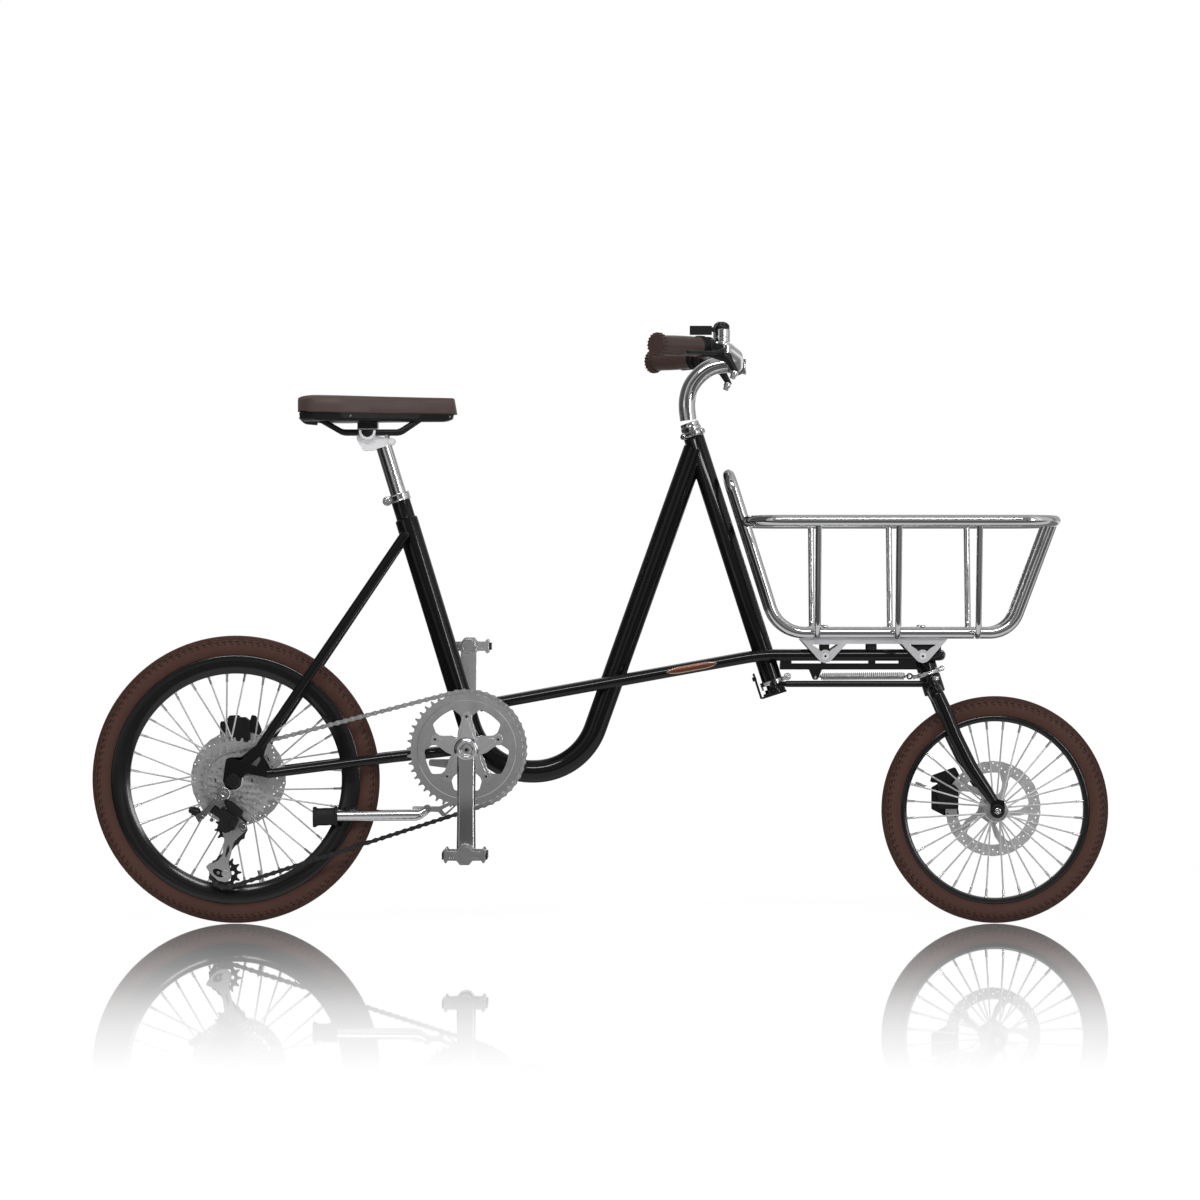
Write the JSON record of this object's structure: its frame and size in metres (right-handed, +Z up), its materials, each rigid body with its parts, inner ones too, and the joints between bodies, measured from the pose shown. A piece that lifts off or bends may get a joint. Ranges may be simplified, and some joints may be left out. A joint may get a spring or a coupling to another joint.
{
  "type": "front-loading cargo bicycle",
  "caption": "Black compact cargo bicycle with a small linkage-steered front wheel and a plated wire basket fixed to the frame, brown tyres, grips and saddle",
  "frame": {"origin": "on the ground, below the middle of the bicycle's length and width", "axes": "+X forward, +Y to the rider's left, +Z up; the chain is on the -Y side"},
  "size_m": [1.6965, 0.5818, 0.9975],
  "materials": {
    "black_paint": "glossy black enamel under a clear coat",
    "bracket_metal": "satin light grey",
    "chrome_trim": "bright plated metal",
    "bare_alloy": "polished to satin bare metal",
    "dark_steel": "bare steel, slightly dulled",
    "black_plastic": "satin black",
    "brown_grip": "smooth brown grip with black collars",
    "brown_tyre": "matt dark brown rubber",
    "brown_leather": "smooth dark brown cover"
  },
  "bodies": {
    "frame": {"seat_tube": "black_paint", "down_tube": "black_paint", "head_tube": "black_paint", "bottom_bracket_shell": "black_paint", "cargo_rails": "black_paint", "front_head_tube": "black_paint", "seat_stay_right": "black_paint", "seat_stay_left": "black_paint", "chain_stay_right": "black_paint", "chain_stay_left": "black_paint", "seat_clamp": "chrome_trim", "headset_upper": "chrome_trim", "rear_axle": "black_plastic", "rear_brake_caliper": "black_plastic", "basket_rim": "chrome_trim", "basket_frame": "chrome_trim", "basket_bracket": "bracket_metal", "steering_spring": "chrome_trim", "chain": "dark_steel", "derailleur_body": "black_plastic"},
    "crankset": {"crank_spindle": "bare_alloy", "chainring": "bare_alloy", "crank_arm_right": "chrome_trim", "crank_arm_left": "chrome_trim"},
    "right_pedal": {"pedal_right": "bare_alloy"},
    "left_pedal": {"pedal_left": "bare_alloy"},
    "rear_wheel": {"rear_tyre": "brown_tyre", "rear_rim": "black_paint", "rear_hub": "bare_alloy", "rear_brake_rotor": "dark_steel"},
    "sprockets": {"cassette": "dark_steel"},
    "front_wheel": {"front_tyre": "brown_tyre", "front_rim": "black_paint", "front_hub": "bare_alloy", "front_brake_rotor": "dark_steel"},
    "front_fork": {"fork": "black_paint", "fork_ring": "chrome_trim", "front_axle": "black_plastic", "front_brake_caliper": "black_plastic"},
    "steering_column": {"steerer_tube": "black_paint", "steerer_ring": "chrome_trim", "stem": "chrome_trim", "handlebar": "chrome_trim", "grip_right": "brown_grip", "grip_left": "brown_grip", "brake_mount_right": "chrome_trim", "brake_mount_left": "chrome_trim", "shifter_housing": "chrome_trim"},
    "right_lever": {"brake_lever_right": "chrome_trim"},
    "left_lever": {"brake_lever_left": "chrome_trim"},
    "gear_lever": {"shift_lever": "black_plastic"},
    "steering_link": {"link_rod": "black_paint"},
    "saddle_post": {"seatpost": "bare_alloy", "saddle_cushion": "brown_leather", "saddle_base": "black_plastic"},
    "kickstand": {"kickstand_leg": "bare_alloy", "kickstand_foot": "black_plastic"},
    "pulley_cage": {"derailleur_cage": "bare_alloy"},
    "upper_pulley": {"jockey_upper": "black_plastic"},
    "lower_pulley": {"jockey_lower": "black_plastic"}
  },
  "joints": [
    {"name": "steering", "type": "hinge", "parent": "frame", "child": "steering_column", "pos_m": [0.2935, 0, 0.3841], "axis": [-0.3065, 0, 0.9519], "range_deg": [-40, 40], "stiffness_Nm_per_rad": 2.5},
    {"name": "fork_steer", "type": "hinge", "parent": "frame", "child": "front_fork", "pos_m": [0.548, 0, 0.4177], "axis": [-0.3065, 0, 0.9519], "range_deg": [-40, 40], "deforming": ["steering_spring"]},
    {"name": "link_pivot", "type": "hinge", "parent": "steering_column", "child": "steering_link", "pos_m": [0.28838, -0.04, 0.4], "axis": [-0.3065, 0, 0.9519], "range_deg": [-40, 40]},
    {"name": "front_wheel_spin", "type": "hinge", "parent": "front_fork", "child": "front_wheel", "pos_m": [0.65875, 0, 0.1895], "axis": [0, 1, 0], "continuous": true},
    {"name": "rear_wheel_spin", "type": "hinge", "parent": "frame", "child": "rear_wheel", "pos_m": [-0.60825, 0, 0.24], "axis": [0, 1, 0], "continuous": true},
    {"name": "crank_spin", "type": "hinge", "parent": "frame", "child": "crankset", "pos_m": [-0.222, 0, 0.291], "axis": [0, 1, 0], "continuous": true, "deforming": ["chain"]},
    {"name": "cassette_spin", "type": "hinge", "parent": "frame", "child": "sprockets", "pos_m": [-0.60825, -0.045, 0.24], "axis": [0, 1, 0], "continuous": true},
    {"name": "right_pedal_spin", "type": "hinge", "parent": "crankset", "child": "right_pedal", "pos_m": [-0.222, -0.133, 0.121], "axis": [0, 1, 0], "continuous": true},
    {"name": "left_pedal_spin", "type": "hinge", "parent": "crankset", "child": "left_pedal", "pos_m": [-0.222, 0.133, 0.461], "axis": [0, 1, 0], "continuous": true},
    {"name": "cage_swing", "type": "hinge", "parent": "frame", "child": "pulley_cage", "pos_m": [-0.614, -0.045, 0.161], "axis": [0, 1, 0], "range_deg": [-25, 8], "stiffness_Nm_per_rad": 1},
    {"name": "upper_pulley_spin", "type": "hinge", "parent": "pulley_cage", "child": "upper_pulley", "pos_m": [-0.614, -0.045, 0.161], "axis": [0, 1, 0], "continuous": true},
    {"name": "lower_pulley_spin", "type": "hinge", "parent": "pulley_cage", "child": "lower_pulley", "pos_m": [-0.62281, -0.045, 0.08612], "axis": [0, 1, 0], "continuous": true},
    {"name": "right_brake_pull", "type": "hinge", "parent": "steering_column", "child": "right_lever", "pos_m": [0.20418, -0.20854, 0.94794], "axis": [0, 0, -1], "range_deg": [0, 10], "stiffness_Nm_per_rad": 2},
    {"name": "left_brake_pull", "type": "hinge", "parent": "steering_column", "child": "left_lever", "pos_m": [0.20418, 0.20854, 0.94794], "axis": [0, 0, 1], "range_deg": [0, 10], "stiffness_Nm_per_rad": 2},
    {"name": "gear_shift", "type": "hinge", "parent": "steering_column", "child": "gear_lever", "pos_m": [0.198, -0.17, 0.98], "axis": [0, 0, 1], "range_deg": [-20, 20]},
    {"name": "seat_height", "type": "slide", "parent": "frame", "child": "saddle_post", "axis": [-0.293, 0, 0.9561], "range_m": [-0.065, 0.12]},
    {"name": "kickstand_swing", "type": "hinge", "parent": "frame", "child": "kickstand", "pos_m": [-0.288, -0.0305, 0.192], "axis": [0, -1, 0], "range_deg": [0, 90]}
  ],
  "couplings": [
    {"joint": "fork_steer", "follows": "steering", "ratio": 1},
    {"joint": "link_pivot", "follows": "steering", "ratio": -1},
    {"joint": "cassette_spin", "follows": "crank_spin", "ratio": 2},
    {"joint": "upper_pulley_spin", "follows": "crank_spin", "ratio": -4},
    {"joint": "lower_pulley_spin", "follows": "crank_spin", "ratio": 4}
  ]
}
